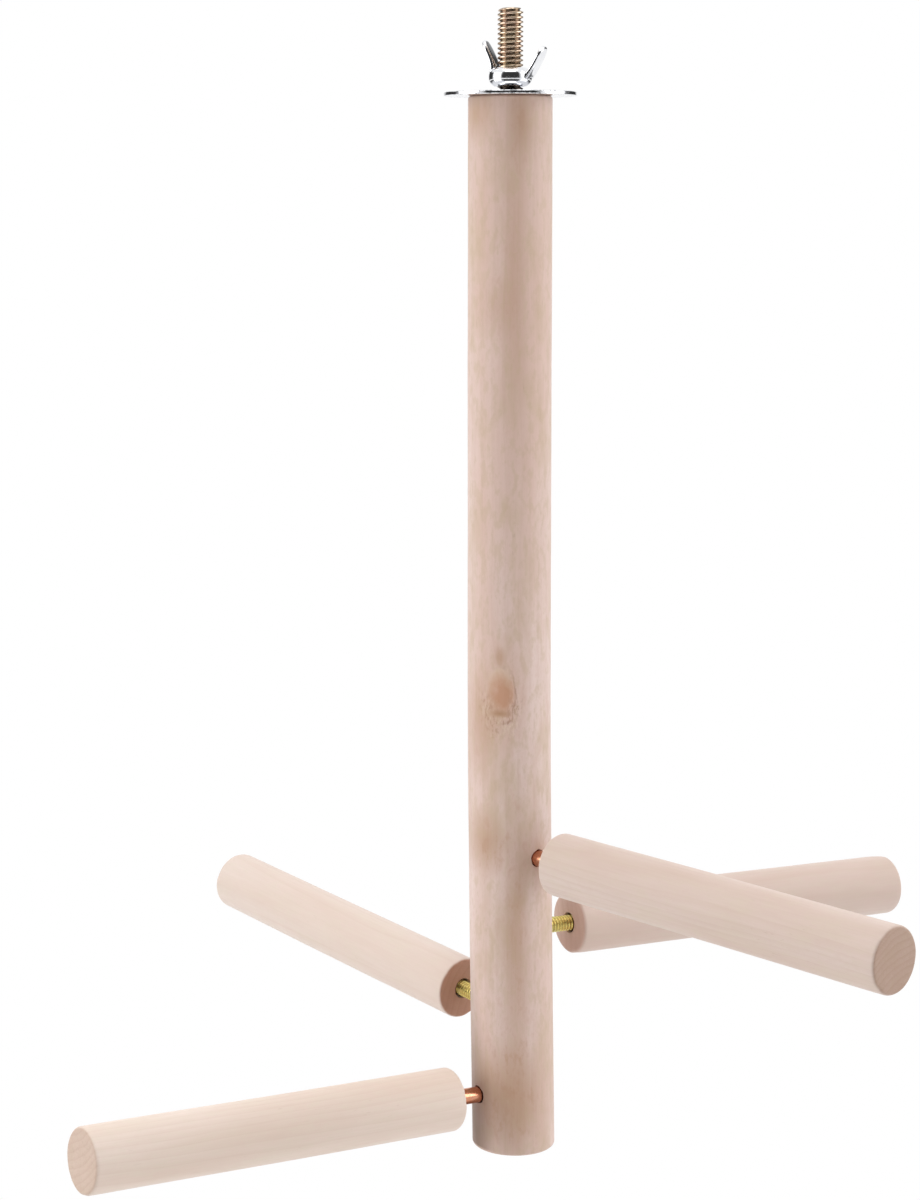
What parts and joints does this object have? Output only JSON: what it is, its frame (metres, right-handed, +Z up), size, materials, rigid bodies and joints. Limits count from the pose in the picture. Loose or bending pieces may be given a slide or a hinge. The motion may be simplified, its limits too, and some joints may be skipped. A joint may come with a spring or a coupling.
{
  "type": "parrot play stand",
  "caption": "Hanging wooden perch stand for a bird cage: an upright dowel with a clamp bolt on top and shorter dowels screwed in as a spiral stair.",
  "frame": {"origin": "on the hanger bolt's axis at the post's top end face, where the cage bars are gripped", "axes": "+Z up along the post and bolt; +X to the right and +Y away from someone who faces the stand as pictured"},
  "size_m": [0.2578, 0.2331, 0.346],
  "materials": {
    "post_wood": "bare sanded pale dowel, no varnish",
    "perch_wood": "bare sanded pale dowel, no varnish",
    "yellow_zinc": "yellow zinc plated screw thread",
    "bright_zinc": "bright zinc plated steel"
  },
  "bodies": {
    "root": {"post": "post_wood", "hanger_bolt": "yellow_zinc"},
    "washer": {"cage_washer": "bright_zinc"},
    "nut": {"wing_nut": "bright_zinc"},
    "screw_1": {"perch_screw_1": "yellow_zinc"},
    "perch_1_body": {"perch_1": "perch_wood"},
    "screw_2": {"perch_screw_2": "yellow_zinc"},
    "perch_2_body": {"perch_2": "perch_wood"},
    "screw_3": {"perch_screw_3": "yellow_zinc"},
    "perch_3_body": {"perch_3": "perch_wood"},
    "screw_4": {"perch_screw_4": "yellow_zinc"},
    "perch_4_body": {"perch_4": "perch_wood"}
  },
  "joints": [
    {"name": "washer_lift", "type": "slide", "parent": "root", "child": "washer", "axis": [0, 0, 1], "range_m": [0, 0.0141]},
    {"name": "nut_turn", "type": "hinge", "parent": "washer", "child": "nut", "pos_m": [0, 0, 0.0056], "axis": [0, 0, 1], "range_deg": [0, 3600]},
    {"name": "perch_1_travel", "type": "slide", "parent": "root", "child": "screw_1", "axis": [-0.8297, -0.5554, 0.0558], "range_m": [-0.008, 0.008]},
    {"name": "perch_1_turn", "type": "hinge", "parent": "screw_1", "child": "perch_1_body", "pos_m": [-0.018, -0.01205, -0.30229], "axis": [-0.8297, -0.5554, 0.0558], "range_deg": [-1441, 1441]},
    {"name": "perch_2_travel", "type": "slide", "parent": "root", "child": "screw_2", "axis": [-0.6224, 0.7797, 0.068], "range_m": [-0.008, 0.008]},
    {"name": "perch_2_turn", "type": "hinge", "parent": "screw_2", "child": "perch_2_body", "pos_m": [-0.01351, 0.01692, -0.27702], "axis": [-0.6224, 0.7797, 0.068], "range_deg": [-1441, 1441]},
    {"name": "perch_3_travel", "type": "slide", "parent": "root", "child": "screw_3", "axis": [0.8767, 0.48, -0.0314], "range_m": [-0.008, 0.008]},
    {"name": "perch_3_turn", "type": "hinge", "parent": "screw_3", "child": "perch_3_body", "pos_m": [0.01903, 0.01042, -0.25418], "axis": [0.8767, 0.48, -0.0314], "range_deg": [-1441, 1441]},
    {"name": "perch_4_travel", "type": "slide", "parent": "root", "child": "screw_4", "axis": [0.6717, -0.7407, -0.014], "range_m": [-0.008, 0.008]},
    {"name": "perch_4_turn", "type": "hinge", "parent": "screw_4", "child": "perch_4_body", "pos_m": [0.01457, -0.01607, -0.2288], "axis": [0.6717, -0.7407, -0.014], "range_deg": [-1441, 1441]}
  ],
  "couplings": [
    {"joint": "nut_turn", "follows": "washer_lift", "rad_per_m": 4452.7},
    {"joint": "perch_1_turn", "follows": "perch_1_travel", "rad_per_m": 3141.6},
    {"joint": "perch_2_turn", "follows": "perch_2_travel", "rad_per_m": 3141.6},
    {"joint": "perch_3_turn", "follows": "perch_3_travel", "rad_per_m": 3141.6},
    {"joint": "perch_4_turn", "follows": "perch_4_travel", "rad_per_m": 3141.6}
  ]
}
